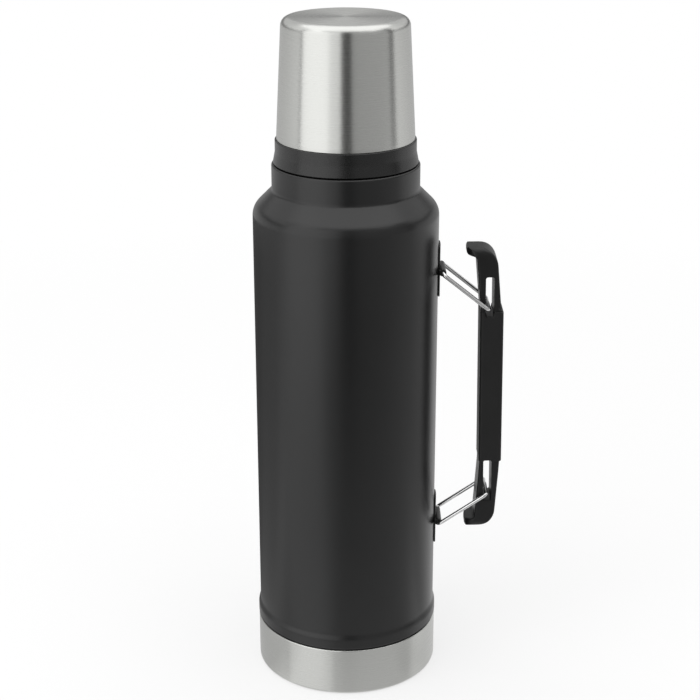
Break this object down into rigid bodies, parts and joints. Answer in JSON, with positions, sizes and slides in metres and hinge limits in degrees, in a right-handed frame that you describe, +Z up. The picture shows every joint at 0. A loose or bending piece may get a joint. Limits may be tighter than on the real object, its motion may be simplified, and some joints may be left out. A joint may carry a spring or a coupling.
{
  "type": "vacuum insulated bottle",
  "caption": "Tall double-walled steel bottle with a screw-on cup lid, a screw stopper under it, a steel base cap and a folding wire-bail carry handle.",
  "frame": {"origin": "middle of the base cap's flat underside, on the bottle's axis", "axes": "+Z up along the bottle's axis, +X out through the middle of the carry handle, +Y across the handle"},
  "size_m": [0.1363, 0.101, 0.367],
  "materials": {
    "paint": "satin black powder paint on steel",
    "vessel_steel": "plain drawn stainless steel",
    "foil": "bright copper foil",
    "seal_glass": "solder glass",
    "getter": "pressed powder",
    "brushed_steel": "stainless steel brushed around the axis",
    "bracket_black": "black coated steel",
    "bail_wire": "bright steel wire",
    "grip_plastic": "fine moulded grain",
    "grip_rubber": "soft moulded rubber",
    "foam": "closed-cell foam",
    "lid_plastic": "moulded plastic",
    "silicone": "silicone rubber"
  },
  "bodies": {
    "bottle": {"outer_shell": "paint", "inner_vessel": "vessel_steel", "radiation_foil": "foil", "vacuum_plate": "vessel_steel", "evacuation_seal": "seal_glass", "getter": "getter", "base_cap": "brushed_steel", "upper_bracket": "bracket_black", "lower_bracket": "bracket_black"},
    "upper_bail": {"upper_bail": "bail_wire"},
    "lower_bail": {"lower_bail": "bail_wire"},
    "grip": {"handle_frame": "grip_plastic", "grip_sleeve": "grip_rubber"},
    "stopper_core": {"stopper_foam": "foam"},
    "stopper": {"stopper_body": "lid_plastic", "stopper_knob": "lid_plastic", "stopper_gasket": "silicone", "stopper_seal": "silicone"},
    "cup_core": {"cup_foam": "foam"},
    "cup": {"cup_shell": "brushed_steel", "cup_liner": "lid_plastic"}
  },
  "joints": [
    {"name": "handle_fold", "type": "slide", "parent": "bottle", "child": "grip", "axis": [-0.8931, 0, -0.4499], "range_m": [-0.001, 0.0145]},
    {"name": "upper_bail_swing", "type": "hinge", "parent": "bottle", "child": "upper_bail", "pos_m": [0.0516, 0, 0.2324], "axis": [0, 1, 0], "range_deg": [-2.2, 30.8]},
    {"name": "lower_bail_swing", "type": "hinge", "parent": "bottle", "child": "lower_bail", "pos_m": [0.0516, 0, 0.0856], "axis": [0, 1, 0], "range_deg": [-30.8, 2.2]},
    {"name": "stopper_lift", "type": "slide", "parent": "bottle", "child": "stopper_core", "axis": [0, 0, 1], "range_m": [0, 0.042]},
    {"name": "stopper_turn", "type": "hinge", "parent": "stopper_core", "child": "stopper", "pos_m": [0, 0, 0.3], "axis": [0, 0, 1], "range_deg": [0, 1260]},
    {"name": "cup_lift", "type": "slide", "parent": "stopper", "child": "cup_core", "axis": [0, 0, 1], "range_m": [0, 0.06]},
    {"name": "cup_turn", "type": "hinge", "parent": "cup_core", "child": "cup", "pos_m": [0, 0, 0.3], "axis": [0, 0, 1], "range_deg": [0, 1800]}
  ],
  "couplings": [
    {"joint": "upper_bail_swing", "follows": "handle_fold", "rad_per_m": 35.02},
    {"joint": "lower_bail_swing", "follows": "handle_fold", "rad_per_m": -35.02},
    {"joint": "stopper_lift", "follows": "stopper_turn", "m_per_rad": 0.0019099},
    {"joint": "cup_lift", "follows": "cup_turn", "m_per_rad": 0.0019099}
  ]
}
